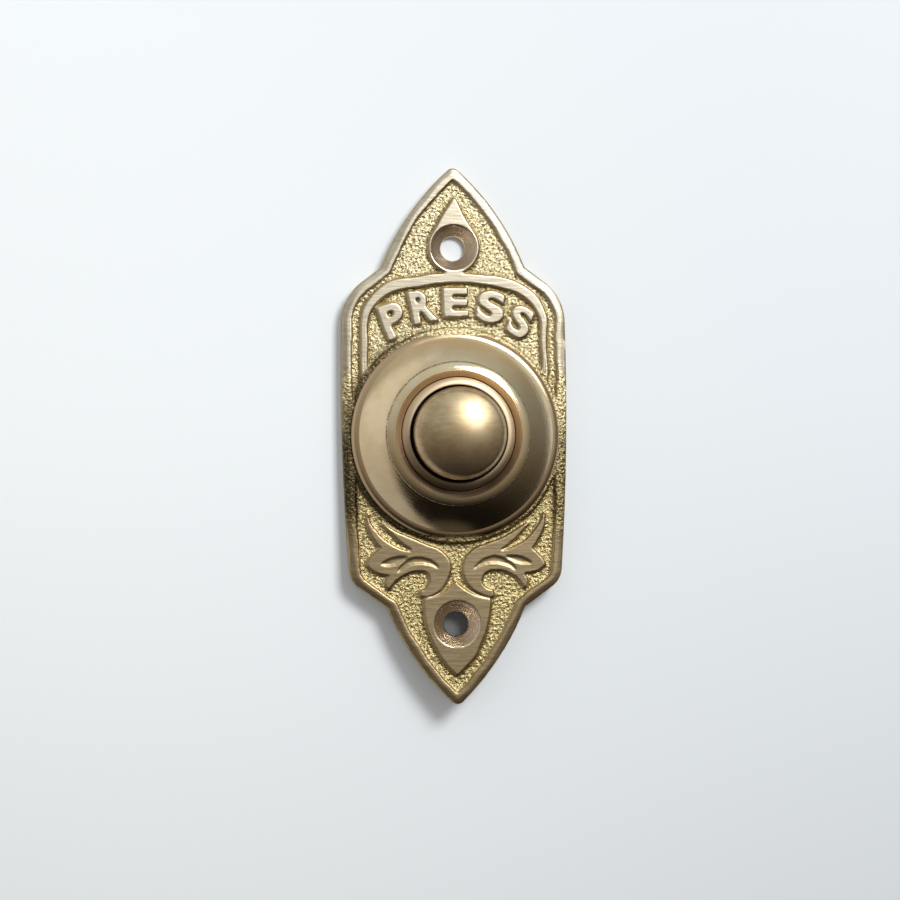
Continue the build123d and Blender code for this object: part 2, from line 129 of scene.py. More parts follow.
# Cast word over the collar: letter, place across and up, lean in degrees, width and height
WORD = (
    ("P", -11.0 * MM, 20.6 * MM, -20, 4.3 * MM, 6.4 * MM),
    ("R", -5.7 * MM, 23.2 * MM, -13, 4.6 * MM, 6.2 * MM),
    ("E", 0.2 * MM, 23.8 * MM, -1, 4.6 * MM, 5.4 * MM),
    ("S", 6.6 * MM, 23.1 * MM, 9, 5.1 * MM, 5.7 * MM),
    ("S", 11.9 * MM, 20.3 * MM, 22, 4.2 * MM, 5.8 * MM),
)
LETTER_WEIGHT = 0.05
LETTER_SPREAD = 0.1 * MM

# Turned sizes in millimetres: radii, and depths in front of the wall
SEAT_DEPTH = 2.9
SPIGOT_RADIUS = 14.45
SPIGOT_DEPTH = 1.45
CAVITY_RADIUS = 13.15
CAVITY_DEPTH = 6.0
FLANGE_RADIUS = 18.7
FLANGE_EDGE_DEPTH = 3.55
DOME_RADIUS = 17.4
DOME_FOOT_DEPTH = 4.68
NECK_RADIUS = 12.8
NECK_DEPTH = 8.5
LIP_CORNER = (12.66, 8.68)
LIP_RADIUS = 11.3
LIP_DEPTH = 9.1
MOUTH_RADIUS = 10.25
SHELF_RADIUS = 11.55
SHELF_DEPTH = 7.5
BUSH_RADIUS = 10.1
BUSH_BORE = 8.7
BUSH_RIM_RADIUS = 11.4
BUSH_BACK_DEPTH = 6.9
BUSH_EDGE_DEPTH = 8.35
BUSH_MOUTH_DEPTH = 8.8
BUTTON_RADIUS = 8.2
BUTTON_SIDE_DEPTH = 11.3
BUTTON_SHOULDER = (7.09, 13.09)
BUTTON_TOP_DEPTH = 14.75
BUTTON_FLANGE_RADIUS = 9.7
BUTTON_FLANGE_BACK = 6.1
BUTTON_FLANGE_FRONT = 6.8
STEM_RADIUS = 7.0
STEM_END_DEPTH = 4.9
STEM_LIP_RADIUS = 7.4
STEM_LIP_DEPTH = 5.2
CUP_RADIUS = 5.7
CUP_DEPTH = 9.5

# Turning and the spring
TURNED_STEPS = 256
TURNED_SHARP_DEGREES = 35
COLLAR_FLAT = 17.85 * MM
COIL_RADIUS = 4.6 * MM
COIL_FOOT = 2.8 * MM
COIL_HEIGHT = 6.3 * MM
COIL_TURNS = 5
COIL_STEPS = 48
WIRE_RADIUS = 0.35 * MM
WIRE_SIDES = 12

# Wall, its paint shaded from the darkest corner to the palest as painted light, and a painted shadow behind
# the lower hole whose edge is in millimetres
WALL_SHADED = (0.68, 0.715, 0.755, 1.0)
WALL_LIT = (0.85, 0.885, 0.915, 1.0)
# The wall's faint glow is painted light that lifts its shadows.
WALL_GLOW = 0.1
WALL_GAP = 0.02 * MM
WALL_REACH = 1.5
WALL_ROW = 4 * MM
WALL_ROWS = 31
WALL_BEND_FROM = 10 * MM
WALL_BEND = 1.05
WALL_HOLE_SHADOW = (0.15, 0.155, 0.16, 1.0)
WALL_HOLE_SHADOW_EDGE = (4.2, 3.4)

# Openings behind the plate, in millimetres: a share of the way across, one of the height, and their limit
BODY_OPENING = ((1, 0, 18.6), (0, -1, 14), (1, 1.6, 57.0))
SPIRE_OPENING = ((0, -1, -20), (1, 0.794, 37.6), (1, 0.515, 27.0))
SCREW_PATCH = 3.0


# Shader sockets that take part in sums

class Wire:
    """A shader socket. Sums on it add Math nodes, and node() adds any other node beside it."""

    def __init__(self, tree, socket=None):
        self.tree = tree
        self.socket = socket

    def node(self, kind, sockets, out=0, **settings):
        made = self.tree.nodes.new(kind)
        for name, value in settings.items():
            setattr(made, name, value)
        for name, value in sockets.items():
            if isinstance(value, Wire):
                self.tree.links.new(value.socket, made.inputs[name])
            else:
                made.inputs[name].default_value = value
        return Wire(self.tree, made.outputs[out])

    def math(self, operation, first, second=0.0):
        return self.node("ShaderNodeMath", {0: first, 1: second}, operation=operation)

    def __add__(self, other):
        return self.math("ADD", self, other)

    def __radd__(self, other):
        return self.math("ADD", other, self)

    def __sub__(self, other):
        return self.math("SUBTRACT", self, other)

    def __rsub__(self, other):
        return self.math("SUBTRACT", other, self)

    def __mul__(self, other):
        return self.math("MULTIPLY", self, other)

    def __rmul__(self, other):
        return self.math("MULTIPLY", other, self)

    def part(self, axis):
        """The X, Y or Z of a vector."""
        return self.node("ShaderNodeSeparateXYZ", {0: self}, out=axis)

    def between(self, low, high):
        """0 up to low, 1 from high and a smooth rise between, or a fall where low is above high."""
        return self.node("ShaderNodeMapRange", {"Value": self, "From Min": low, "From Max": high},
                         interpolation_type="SMOOTHSTEP")

    def mix(self, first, second):
        """The colour first where this is 0, and second where it is 1."""
        sockets = {"Factor": self, 6: first, 7: second}
        return self.node("ShaderNodeMix", sockets, out=2, data_type="RGBA", clamp_factor=True)


def colour(red, green, blue):
    return (red, green, blue, 1.0)


class Finish(Wire):
    """A material with one Principled shader, and its object coordinates in millimetres."""

    def __init__(self, name, **constants):
        self.material = bpy.data.materials.new(name)
        self.material.use_nodes = True
        super().__init__(self.material.node_tree)
        self.shader = self.tree.nodes["Principled BSDF"]
        for socket, value in constants.items():
            self.shader.inputs[socket.replace("_", " ")].default_value = value
        place = self.node("ShaderNodeTexCoord", {}, out="Object")
        self.place = self.node("ShaderNodeVectorMath", {0: place, "Scale": 1 / MM}, operation="SCALE")

    def set(self, socket, wire):
        self.tree.links.new(wire.socket, self.shader.inputs[socket])

    def stretched(self, x, y, z):
        """The coordinates with each axis multiplied, for marks that run one way."""
        return self.node("ShaderNodeVectorMath", {0: self.place, 1: (x, y, z)}, operation="MULTIPLY")

    def grain(self, vector, scale, detail, roughness):
        sockets = {"Vector": vector, "Scale": scale, "Detail": detail, "Roughness": roughness}
        return self.node("ShaderNodeTexNoise", sockets)

    def radius(self):
        """The distance from the button's axis, in millimetres."""
        flat = self.stretched(1, 0, 1)
        return self.node("ShaderNodeVectorMath", {0: flat}, out="Value", operation="LENGTH")

    def depth(self):
        """The distance in front of the wall, in millimetres."""
        return 0.0 - self.place.part("Y")

    def distance(self, x, y, z):
        """The distance from a point, in millimetres."""
        sockets = {0: self.place, 1: (x, y, z)}
        return self.node("ShaderNodeVectorMath", sockets, out="Value", operation="DISTANCE")

    def lathe_rings(self, radius):
        """Turning marks that follow a radius in millimetres."""
        sockets = {"W": radius, "Scale": 5.0, "Detail": 4.0, "Roughness": 0.75}
        return self.node("ShaderNodeTexNoise", sockets, noise_dimensions="1D")

    def attribute(self, name):
        return self.node("ShaderNodeAttribute", {}, out="Fac", attribute_name=name)

    def bump(self, height, distance, strength=1.0, under=None):
        sockets = {"Height": height, "Distance": distance, "Strength": strength}
        if under:
            sockets["Normal"] = under
        return self.node("ShaderNodeBump", sockets)


# Finishes

def cast_metal(made, ground, speck, scratch, cloud):
    """The plate's colour before dirt: linished faces, sparkling ground and darker slopes, every tone
    painted paler towards the top as painted light.
    """
    # Painted light and shade: the tones are paler at the top and darker below, where the collar's shade
    # falls.
    painted_top_light = (made.place.part("Z") + 20 * cloud).between(-6, 36)
    face = painted_top_light.mix(colour(0.39, 0.30, 0.18), colour(0.56, 0.50, 0.39))
    scored = painted_top_light.mix(colour(0.30, 0.23, 0.135), colour(0.46, 0.405, 0.305))
    linished = scratch.between(0.38, 0.62).mix(face, scored)
    dull = painted_top_light.mix(colour(0.25, 0.18, 0.07), colour(0.25, 0.195, 0.09))
    bright = painted_top_light.mix(colour(0.60, 0.50, 0.27), colour(0.80, 0.70, 0.46))
    gold = speck.between(0.38, 0.62).mix(dull, bright)
    metal = ground.between(0.25, 0.75).mix(linished, gold)
    facing = 0.0 - made.node("ShaderNodeNewGeometry", {}, out="Normal").part("Y")
    return (0.8 * facing.between(0.88, 0.66)).mix(metal, colour(0.42, 0.30, 0.12))


def plate_soil_and_shade(made, ground, speck):
    """Where dirt and painted shade lie: round the collar's seat and on the rim beside it, most of it left
    and below, where the collar's shadow falls.
    """
    across, height = made.place.part("X"), made.place.part("Z")
    left = across.between(*SOIL_AND_SHADE_SHIFT)
    lower = height.between(*SOIL_AND_SHADE_SHIFT)
    seat = made.radius().between(*SEAT_SOIL_AND_SHADE)
    seat = seat * (speck + 0.2 * left + 0.1 * lower).between(0.54, 0.72) * ground
    beside = across.math("ABSOLUTE", across).between(*SIDE_SOIL_AND_SHADE)
    beside = beside * height.between(*SIDE_SOIL_AND_SHADE_TOP) * height.between(*SIDE_SOIL_AND_SHADE_FOOT)
    return seat.math("MAXIMUM", seat, beside * (speck + 0.1 * left).between(0.44, 0.58))


def cast_brass():
    """Sparkling cast ground, flat linished faces, drilled countersinks, brown corners and a raw back."""
    made = Finish("cast_brass", Metallic=1.0)
    ground = made.attribute("ground")
    foot = made.attribute("foot")
    drilled = made.attribute("drilled")
    cloud = made.grain(made.place, 0.16, 4.0, 0.6)
    speck = made.grain(made.stretched(1.0, 1.0, 1.2), 2.0, 3.0, 0.6)
    scratch = made.grain(made.stretched(0.12, 1.0, 1.9), 1.0, 4.0, 0.75)
    metal = drilled.mix(cast_metal(made, ground, speck, scratch, cloud), colour(0.60, 0.485, 0.36))
    brown = (foot * (0.6 + 0.8 * cloud)).between(0.1, 0.85)
    metal = brown.mix(metal, colour(0.23, 0.165, 0.06))
    # Dirt and painted shade round the collar, near black.
    metal = plate_soil_and_shade(made, ground, speck).mix(metal, colour(0.06, 0.045, 0.025))
    raw = made.depth().between(*RAW_BACK) * (1 - drilled)
    made.set("Base Color", (0.8 * raw).mix(metal, colour(0.28, 0.18, 0.09)))
    made.set("Roughness", 0.40 - 0.03 * ground - 0.18 * drilled + 0.2 * raw)
    upper_hole, lower_hole = (made.distance(0, 0, place / MM) for place in SCREW_HEIGHTS)
    turning = made.lathe_rings(upper_hole.math("MINIMUM", upper_hole, lower_hole))
    scratched = made.bump(scratch * (1 - ground) * (1 - drilled), 0.05 * MM, 0.7)
    scratched = made.bump(turning * drilled, 0.04 * MM, 1.0, scratched)
    made.set("Normal", made.bump(speck * ground.math("MAXIMUM", ground, raw), 0.3 * MM, 0.8, scratched))
    return made.material


def turned_metal(name, metal, worn, roughness, coat, ring_depth, brushed, copper_sheen_radius,
                 gap_radius, gap_depth):
    """Brass off the lathe: rings, tarnish, a coppery middle that is partly painted reflection, and grime
    with painted shade in the gap, at the neck's foot and low on the coppery ring. The last three are in
    millimetres.
    """
    made = Finish(name, Metallic=1.0, Coat_Weight=coat, Coat_Roughness=0.25)
    radius = made.radius()
    rings = made.lathe_rings(radius)
    cloud = made.grain(made.place, 0.22, 4.0, 0.6)
    streak = made.grain(made.stretched(0.36, 1.0, 1.9), 1.0, 3.0, 0.65)
    # Grime and painted shade, near black, deep in the gap between the button and the bush.
    gap_grime_and_shade = radius.between(gap_radius + 0.1, gap_radius - 0.1)
    gap_grime_and_shade = gap_grime_and_shade * made.depth().between(gap_depth + 0.3, gap_depth)
    turned_colour = (cloud + 4 * brushed * (streak - 0.5)).between(0.3, 0.7).mix(metal, worn)
    # The coppery middle of the lip and the bush: part copper patina, part painted reflection of the brass
    # around it.
    copper_and_sheen = radius.between(copper_sheen_radius, copper_sheen_radius - 0.3)
    inner = copper_and_sheen * radius.between(MOUTH_RADIUS + 0.05, BUSH_RADIUS)
    turned_colour = copper_and_sheen.mix(turned_colour, inner.mix(colour(0.78, 0.57, 0.37), colour(0.55, 0.43, 0.29)))
    # Painted shade: the coppery ring is darker towards the bottom, where the button's shadow falls.
    lower_shade = 0.75 * copper_and_sheen * made.place.part("Z").between(1, -9)
    pitted = made.grain(made.place, 2.2, 3.0, 0.7).between(0.36, 0.56)
    # Grime and painted shade in the crease at the neck's foot, pitted.
    corner = radius.between(NECK_RADIUS - 0.2, NECK_RADIUS - 0.05)
    corner = 0.7 * corner * radius.between(NECK_RADIUS + 0.25, NECK_RADIUS + 0.1) * pitted
    turned_colour = (lower_shade + corner).mix(turned_colour, colour(0.10, 0.065, 0.035))
    edge = radius.between(DOME_RADIUS - 0.1, DOME_RADIUS + 0.2)
    turned_colour = edge.mix(turned_colour, colour(0.50, 0.37, 0.23))
    made.set("Base Color", gap_grime_and_shade.mix(turned_colour, colour(0.025, 0.018, 0.012)))
    dulled = 0.08 * cloud.between(0.3, 0.8) + brushed * streak + 0.4 * gap_grime_and_shade
    made.set("Roughness", roughness + dulled + 0.24 * copper_and_sheen + 0.1 * inner + 0.1 * edge)
    made.set("Normal", made.bump(rings, ring_depth, 1.0, made.bump(streak, brushed * 0.05 * MM)))
    return made.material


def moulding(name, dark, pale, roughness):
    """Pressed insulating material: a fine mottle and a faint skin texture."""
    made = Finish(name)
    mottle = made.grain(made.place, 1.4, 5.0, 0.65)
    made.set("Base Color", mottle.between(0.35, 0.75).mix(dark, pale))
    made.set("Roughness", roughness + 0.2 * mottle)
    made.set("Normal", made.bump(mottle, 0.03 * MM, 0.5))
    return made.material


def drawn_metal(name, metal, worn, roughness):
    """Strip, wire or screw stock: fine drawn lines and uneven tarnish."""
    made = Finish(name, Metallic=1.0)
    lines = made.grain(made.stretched(6.0, 6.0, 0.6), 1.0, 3.0, 0.6)
    cloud = made.grain(made.place, 0.5, 4.0, 0.6)
    made.set("Base Color", cloud.between(0.35, 0.7).mix(metal, worn))
    made.set("Roughness", roughness + 0.15 * lines)
    made.set("Normal", made.bump(lines, 0.01 * MM, 0.6))
    return made.material


FINISHES = {
    "cast_brass": cast_brass(),
    "turned_brass": turned_metal(
        "turned_brass", colour(0.76, 0.635, 0.43), colour(0.70, 0.55, 0.34), roughness=0.09, coat=0.0,
        ring_depth=0.006 * MM, brushed=0.03, copper_sheen_radius=11.4, gap_radius=10.4, gap_depth=8.2),
    "satin_brass": turned_metal(
        "satin_brass", colour(0.53, 0.415, 0.26), colour(0.36, 0.26, 0.145), roughness=0.25, coat=0.1,
        ring_depth=0.003 * MM, brushed=0.12, copper_sheen_radius=0.0, gap_radius=20.0, gap_depth=9.2),
    "contact_brass": drawn_metal("contact_brass", colour(0.80, 0.62, 0.34), colour(0.60, 0.42, 0.20), 0.25),
    "screw_brass": drawn_metal("screw_brass", colour(0.78, 0.63, 0.38), colour(0.58, 0.42, 0.22), 0.22),
    "spring_steel": drawn_metal("spring_steel", colour(0.62, 0.62, 0.61), colour(0.48, 0.46, 0.43), 0.24),
    "black_moulding": moulding("black_moulding", colour(0.016, 0.014, 0.012), colour(0.05, 0.042, 0.036),
                               0.32),
    "fibre": moulding("fibre", colour(0.24, 0.07, 0.04), colour(0.42, 0.14, 0.07), 0.55),
}


# Pieces

def piece(bm, name, body, slot, sharp_degrees, *nodes):
    """A finished mesh that rides on a body and stands for the nodes."""
    mesh = bpy.data.meshes.new(name)
    bm.to_mesh(mesh)
    bm.free()
    made = bpy.data.objects.new(name, mesh)
    bpy.context.scene.collection.objects.link(made)
    mesh.shade_smooth()
    mesh.set_sharp_from_angle(angle=math.radians(sharp_degrees))
    mesh.materials.append(FINISHES[slot])
    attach(made, body)
    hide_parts(*nodes)
    return made


def solid_copy(node):
    """A node's own mesh with its loose triangles joined."""
    bm = bmesh.new()
    bm.from_mesh(frame["nodes"][node].data)
    bmesh.ops.remove_doubles(bm, verts=bm.verts, dist=SAME_PLACE)
    return bm


def letter_shapes():
    """The letters of the cast word as one flat mesh in the plate's plane."""
    letters = bmesh.new()
    for letter, across, up, lean, width, height in WORD:
        text = bpy.data.curves.new("letter", "FONT")
        text.body = letter
        text.offset = LETTER_WEIGHT
        made = bpy.data.objects.new("letter", text)
        start = len(letters.verts)
        letters.from_mesh(made.to_mesh())
        letters.verts.ensure_lookup_table()
        verts = letters.verts[start:]
        left, right = min(v.co.x for v in verts), max(v.co.x for v in verts)
        foot, head = min(v.co.y for v in verts), max(v.co.y for v in verts)
        place = (Matrix.Translation((across, 0, up)) @ Matrix.Rotation(math.radians(lean), 4, "Y")
                 @ Matrix.Diagonal((width / (right - left), 1, height / (head - foot), 1)) @ UPRIGHT
                 @ Matrix.Translation((-(left + right) / 2, -(foot + head) / 2, 0)))
        bmesh.ops.transform(letters, matrix=place, verts=verts)
        made.to_mesh_clear()
        bpy.data.objects.remove(made)
        bpy.data.curves.remove(text)
    return letters


def cast_depth(place, solid, letters):
    """The as-cast depth at a place: the solid's own, with the word raised on it."""
    start = Vector((place.x, 2 * cad_low.y, place.z))
    hit = solid.ray_cast(start, FORWARD)[0]
    if hit is None:
        return RIM_EDGE_DEPTH
    lettered = letters.find_nearest(Vector((place.x, 0, place.z)), LETTER_SPREAD)[0]
    return LETTER_DEPTH if lettered else -hit.y


def side_wear(place):
    """How far the seat and the rim beside the collar are left rough: 1 there, and 0 above and below."""
    if math.hypot(place.x, place.z) < ROUGH_SEAT:
        return 1.0
    low, high = ROUGH_SIDES
    beyond = max(low - place.z, place.z - high, 0)
    return max(0.0, 1 - beyond / ROUGH_FADE) if abs(place.x) > ROUGH_SIDE_FROM else 0.0


def trimmed_sheet(bm, solid, walls):
    """A fine sheet cut to the casting's outline, with its edges drawn on to the solid's walls."""
    low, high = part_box("plate")
    size, middle = high - low, (high + low) / 2
    cover = (Matrix.Translation((middle.x, 0, middle.z)) @ UPRIGHT
             @ Matrix.Diagonal((size.x / 2, size.z / 2, 1, 1)))
    bmesh.ops.create_grid(bm, x_segments=round(size.x / GRID_PITCH), y_segments=round(size.z / GRID_PITCH),
                          size=1, matrix=cover)
    beyond = [f for f in bm.faces
              if solid.ray_cast(f.calc_center_median() + 2 * cad_low.y * FORWARD, FORWARD)[0] is None]
    bmesh.ops.delete(bm, geom=beyond, context="FACES")
    for vert in bm.verts:
        if vert.is_boundary:
            near = walls.find_nearest(Vector((vert.co.x, -SIDE_SNAP_DEPTH, vert.co.z)))[0]
            vert.co.x, vert.co.z = near.x, near.z


def drill(bm, marks):
    """Cut the countersinks clean through the casting."""
    for vert in bm.verts:
        for height in SCREW_HEIGHTS:
            across = Vector((vert.co.x, 0, vert.co.z - height))
            if across.length < COUNTERSINK_RADIUS + GRID_PITCH / 2:
                if across.length > COUNTERSINK_RADIUS - GRID_PITCH / 2:
                    across *= COUNTERSINK_RADIUS / across.length
                    vert.co.x, vert.co.z = across.x, height + across.z
                vert.co.y = -(RELIEF_DEPTH - COUNTERSINK_RADIUS + across.length)
                vert[marks["ground"]], vert[marks["foot"]], vert[marks["drilled"]] = 0.0, 0.0, 1.0


def open_edges(bm, depth):
    """The sheet's open edges at one depth in front of the wall."""
    return [e for e in bm.edges
            if e.is_boundary and all(abs(v.co.y + depth) < SAME_DEPTH for v in e.verts)]


def close_back(bm, marks):
    """Add the sides, the ledge over the base and the back."""
    sides = bmesh.ops.extrude_edge_only(bm, edges=[e for e in bm.edges if e.is_boundary])["geom"]
    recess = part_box("base")[1].x + BASE_GAP
    for vert in (g for g in sides if isinstance(g, bmesh.types.BMVert)):
        over_base = math.hypot(vert.co.x, vert.co.z) < recess
        vert.co.y = -LEDGE_DEPTH if over_base else 0.0
        vert[marks["ground"]], vert[marks["foot"]], vert[marks["drilled"]] = 0.0, 0.0, 0.0
    ring = bmesh.ops.create_circle(bm, segments=TURNED_STEPS, radius=recess,
                                   matrix=Matrix.Translation((0, -LEDGE_DEPTH, 0)) @ UPRIGHT)["verts"]
    ring_edges = list({e for v in ring for e in v.link_edges})
    bmesh.ops.triangle_fill(bm, edges=ring_edges + open_edges(bm, LEDGE_DEPTH),
                            use_dissolve=False, use_beauty=False)
    step = bmesh.ops.extrude_edge_only(bm, edges=ring_edges)["geom"]
    for vert in (g for g in step if isinstance(g, bmesh.types.BMVert)):
        vert.co.y = 0.0
    bmesh.ops.triangle_fill(bm, edges=open_edges(bm, 0.0), use_dissolve=False, use_beauty=False)
    bmesh.ops.recalc_face_normals(bm, faces=bm.faces)


def plate_guides():
    """What the sheet is shaped by: the solid plate, its walls alone, and the word."""
    source = solid_copy("plate")
    solid = BVHTree.FromBMesh(source)
    bmesh.ops.delete(source, geom=[f for f in source.faces if abs(f.normal.y) > SIDE_LEAN], context="FACES")
    walls = BVHTree.FromBMesh(source)
    source.free()
    word = letter_shapes()
    letters = BVHTree.FromBMesh(word)
    word.free()
    return solid, walls, letters


def soften(bm, times):
    """Round the relief off, with the sheet's outline left as it is."""
    inner = [v for v in bm.verts if not v.is_boundary]
    for _ in range(times):
        bmesh.ops.smooth_vert(bm, verts=inner, factor=0.5, use_axis_y=True)


def linish(bm, marks, walls, soft):
    """Grind the soft relief flat, give the ground its grain, and mark the ground and the corners' feet."""
    relief = RELIEF_DEPTH - GROUND_DEPTH
    for vert, depth in zip(bm.verts, soft):
        uneven = 1 + LINISH_UNEVEN * noise.noise(vert.co / (2 * WANDER_SIZE))
        share = (depth - GROUND_DEPTH) / relief * LINISH_GAIN * uneven
        rough = max(1 - min(1, max(0, (share - LINISH_FROM) * LINISH_RISE)), side_wear(vert.co))
        vert[marks["ground"]] = rough
        edge = walls.find_nearest(Vector((vert.co.x, -SIDE_SNAP_DEPTH, vert.co.z)))[3]
        hollow = max(0.0, (-vert.co.y - depth) / relief)
        vert[marks["foot"]] = hollow * CORNER_GAIN * min(1, edge / RIM_WIDTH) ** 4
        at = Vector((vert.co.x / GRAIN_SIZE[0], 0, vert.co.z / GRAIN_SIZE[1]))
        grain = noise.noise(at) + 0.5 * noise.noise(at * 2.1)
        cast = RELIEF_DEPTH - (relief - CAST_FILL) * (1 - share) + GRAIN_HEIGHT * rough * grain
        vert.co.y = -RIM_EDGE_DEPTH if vert.is_boundary else -min(cast, RELIEF_DEPTH)


def plate():
    """The casting: a fine sheet shaped by the solid and the word, softened, linished and drilled."""
    solid, walls, letters = plate_guides()
    bm = bmesh.new()
    marks = {name: bm.verts.layers.float.new(name) for name in ("ground", "foot", "drilled")}
    trimmed_sheet(bm, solid, walls)
    noise.seed_set(WANDER_SEED)
    for vert in bm.verts:
        wander = WANDER * noise.noise_vector(vert.co / WANDER_SIZE)
        vert.co.y = -cast_depth(vert.co + wander, solid, letters)
    soften(bm, CAST_SOFTENING)
    soft = [-v.co.y for v in bm.verts]
    soften(bm, CAVITY_SOFTENING)
    linish(bm, marks, walls, soft)
    drill(bm, marks)
    close_back(bm, marks)
    piece(bm, "cast_plate", "housing", "cast_brass", PLATE_SHARP_DEGREES, "plate")


def bow(start, end, bulge, steps):
    """Points after start, up to end, along an arc that swells by bulge to the right of the chord."""
    (x0, y0), (x1, y1) = start, end
    half = math.hypot(x1 - x0, y1 - y0) / 2
    turn = 4 * math.atan(bulge / half)
    across = ((y1 - y0) / (2 * half), (x0 - x1) / (2 * half))
    points = []
    for step in range(1, steps + 1):
        angle = turn * (step / steps - 0.5)
        along = 0.5 + math.sin(angle) / (2 * math.sin(turn / 2))
        rise = half * (math.cos(angle) - math.cos(turn / 2)) / math.sin(turn / 2)
        points.append((x0 + (x1 - x0) * along + across[0] * rise,
                       y0 + (y1 - y0) * along + across[1] * rise))
    return points


def turned(profile):
    """A section given as radius and depth in millimetres, spun about the button's axis."""
    bm = bmesh.new()
    verts = [bm.verts.new((radius * MM, -depth * MM, 0)) for radius, depth in profile]
    edges = [bm.edges.new(pair) for pair in zip(verts, verts[1:])]
    bmesh.ops.spin(bm, geom=verts + edges, cent=(0, 0, 0), axis=(0, 1, 0), dvec=(0, 0, 0),
                   angle=2 * math.pi, steps=TURNED_STEPS, use_merge=True)
    bmesh.ops.remove_doubles(bm, verts=bm.verts, dist=SAME_PLACE)
    bmesh.ops.recalc_face_normals(bm, faces=bm.faces)
    return bm


# Turned sections, radius and depth in millimetres
COLLAR_SECTION = [(CAVITY_RADIUS, SPIGOT_DEPTH), (SPIGOT_RADIUS, SPIGOT_DEPTH), (SPIGOT_RADIUS, SEAT_DEPTH),
                  (18.6, SEAT_DEPTH), (FLANGE_RADIUS, 3.0), (FLANGE_RADIUS, FLANGE_EDGE_DEPTH)]
COLLAR_SECTION += bow((FLANGE_RADIUS, FLANGE_EDGE_DEPTH), (17.5, 4.14), 0.14, 8)
COLLAR_SECTION += [(17.42, 4.15), (DOME_RADIUS, 4.2), (DOME_RADIUS, DOME_FOOT_DEPTH)]
COLLAR_SECTION += bow((DOME_RADIUS, DOME_FOOT_DEPTH), (NECK_RADIUS, 8.0), 0.17, 20)
COLLAR_SECTION += [(NECK_RADIUS, NECK_DEPTH)]
COLLAR_SECTION += bow((NECK_RADIUS, NECK_DEPTH), LIP_CORNER, 0.04, 4)
COLLAR_SECTION += bow(LIP_CORNER, (LIP_RADIUS, LIP_DEPTH), 0.05, 10)
COLLAR_SECTION += [(10.3, 8.53), (MOUTH_RADIUS, 8.47), (MOUTH_RADIUS, SHELF_DEPTH),
                   (SHELF_RADIUS, SHELF_DEPTH), (SHELF_RADIUS, CAVITY_DEPTH),
                   (CAVITY_RADIUS, CAVITY_DEPTH), (CAVITY_RADIUS, SPIGOT_DEPTH)]
BUSH_SECTION = [(BUSH_BORE, BUSH_MOUTH_DEPTH), (BUSH_BORE, BUSH_BACK_DEPTH),
                (BUSH_RIM_RADIUS, BUSH_BACK_DEPTH), (BUSH_RIM_RADIUS, SHELF_DEPTH),
                (BUSH_RADIUS, SHELF_DEPTH), (BUSH_RADIUS, BUSH_EDGE_DEPTH)]
BUSH_SECTION += bow((BUSH_RADIUS, BUSH_EDGE_DEPTH), (8.8, 8.89), 0.13, 10)
BUSH_SECTION += [(8.73, 8.87), (BUSH_BORE, BUSH_MOUTH_DEPTH)]
BUTTON_SECTION = [(0, CUP_DEPTH), (CUP_RADIUS, CUP_DEPTH), (CUP_RADIUS, STEM_END_DEPTH),
                  (STEM_LIP_RADIUS, STEM_END_DEPTH), (STEM_LIP_RADIUS, STEM_LIP_DEPTH),
                  (STEM_RADIUS, STEM_LIP_DEPTH), (STEM_RADIUS, BUTTON_FLANGE_BACK),
                  (BUTTON_FLANGE_RADIUS, BUTTON_FLANGE_BACK), (BUTTON_FLANGE_RADIUS, BUTTON_FLANGE_FRONT),
                  (BUTTON_RADIUS, BUTTON_FLANGE_FRONT), (BUTTON_RADIUS, BUTTON_SIDE_DEPTH)]
BUTTON_SECTION += bow((BUTTON_RADIUS, BUTTON_SIDE_DEPTH), BUTTON_SHOULDER, 0.30, 14)
BUTTON_SECTION += bow(BUTTON_SHOULDER, (0, BUTTON_TOP_DEPTH), 0.42, 24)


def collar():
    """The turned collar, with a flat cut across its flange above and below."""
    bm = turned(COLLAR_SECTION)
    for side in (1, -1):
        cut = bmesh.ops.bisect_plane(bm, geom=bm.verts[:] + bm.edges[:] + bm.faces[:],
                                     plane_co=(0, 0, side * COLLAR_FLAT), plane_no=(0, 0, side),
                                     clear_outer=True)["geom_cut"]
        bmesh.ops.holes_fill(bm, edges=[g for g in cut if isinstance(g, bmesh.types.BMEdge)], sides=0)
    bmesh.ops.recalc_face_normals(bm, faces=bm.faces)
    piece(bm, "turned_collar", "housing", "turned_brass", TURNED_SHARP_DEGREES, "collar")


def bush():
    piece(turned(BUSH_SECTION), "guide_bush", "housing", "turned_brass", TURNED_SHARP_DEGREES, "bush")


def button():
    piece(turned(BUTTON_SECTION), "domed_button", "plunger", "satin_brass", TURNED_SHARP_DEGREES, "button")


def spring():
    """Round wire wound about the button's axis, which shortens as the button goes in."""
    bm = bmesh.new()
    start = Matrix.Translation((COIL_RADIUS, -COIL_FOOT, 0))
    ring = bmesh.ops.create_circle(bm, cap_ends=True, segments=WIRE_SIDES, radius=WIRE_RADIUS,
                                   matrix=start)["verts"]
    ring_edges = list({e for v in ring for e in v.link_edges})
    steps = COIL_TURNS * COIL_STEPS
    bmesh.ops.spin(bm, geom=ring + ring_edges, cent=(0, 0, 0), axis=(0, 1, 0),
                   dvec=(0, -COIL_HEIGHT / steps, 0), angle=2 * math.pi * COIL_TURNS, steps=steps)
    bmesh.ops.holes_fill(bm, edges=[e for e in bm.edges if e.is_boundary], sides=0)
    bmesh.ops.recalc_face_normals(bm, faces=bm.faces)
    made = piece(bm, "wound_spring", "housing", "spring_steel", TURNED_SHARP_DEGREES, "return_spring")
    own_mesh(made)


plate()
collar()
bush()
button()
spring()
for row in frame["record"]["subparts"]:
    node = frame["nodes"][row["node"]]
    node.data.materials.clear()
    node.data.materials.append(FINISHES[row["material_slot"]])


# Wall, lamps and camera

